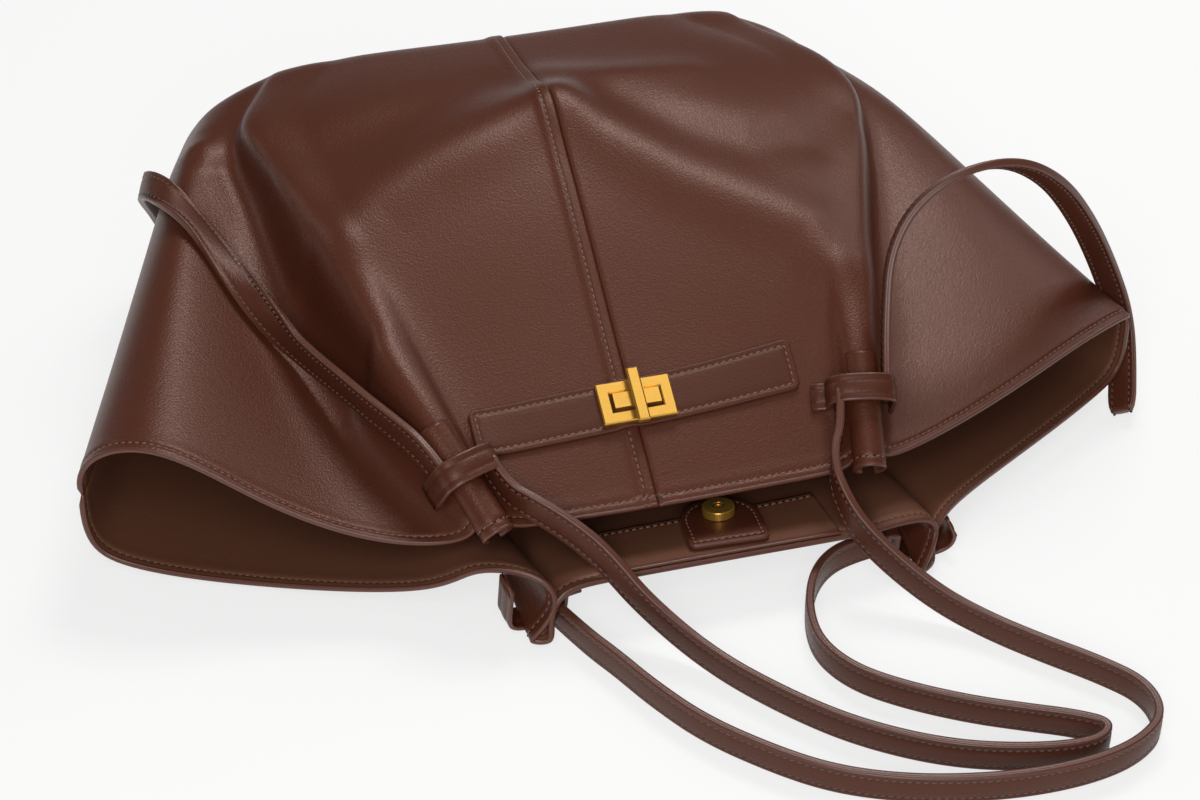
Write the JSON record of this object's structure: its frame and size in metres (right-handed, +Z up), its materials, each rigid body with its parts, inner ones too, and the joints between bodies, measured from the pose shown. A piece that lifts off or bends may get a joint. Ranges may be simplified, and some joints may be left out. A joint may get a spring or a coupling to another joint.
{
  "type": "trapeze bag",
  "caption": "Leather trapeze bag lying on its back, with a wide folded mouth, a front band with a turn lock, a magnetic snap patch and loose straps held by leather keepers.",
  "frame": {"origin": "on the floor under the middle of the bag, straps left out", "axes": "+X to the bag's right as seen from its mouth, +Y from the mouth to the base, +Z up from the back panel to the front panel"},
  "size_m": [0.5093, 0.4743, 0.1539],
  "materials": {
    "leather": "smooth satin, fine grain, chocolate brown",
    "trim_leather": "smooth satin with painted edges",
    "strap_leather": "smooth satin with painted edges",
    "lining": "matt, dark brown",
    "board": "plain",
    "brass": "satin polished",
    "steel": "plain",
    "magnet": "plain ferrite"
  },
  "bodies": {
    "bag": {"back_facing": "lining", "back_panel": "leather", "base_board": "board", "base_panel": "leather", "front_band": "trim_leather", "front_facing": "lining", "front_panel_left": "leather", "front_panel_right": "leather", "handle_strap_left": "strap_leather", "handle_strap_right": "strap_leather", "keeper_back_left": "trim_leather", "keeper_back_right": "trim_leather", "keeper_front_left": "trim_leather", "keeper_front_right": "trim_leather", "lock_block": "brass", "lock_hold_plate": "steel", "lock_plate": "brass", "snap_eyelet": "brass", "snap_magnet": "magnet", "snap_patch": "trim_leather", "snap_socket": "brass", "snap_stud": "brass", "strap_tail_left": "strap_leather", "strap_tail_right": "strap_leather"},
    "turn_bar": {"lock_turn_bar": "brass", "lock_spindle": "brass"}
  },
  "joints": [
    {"name": "lock_turn", "type": "hinge", "parent": "bag", "child": "turn_bar", "pos_m": [-0.003, -0.09468, 0.07042], "axis": [-0.001, -0.4608, 0.8875], "range_deg": [0, 90]}
  ]
}
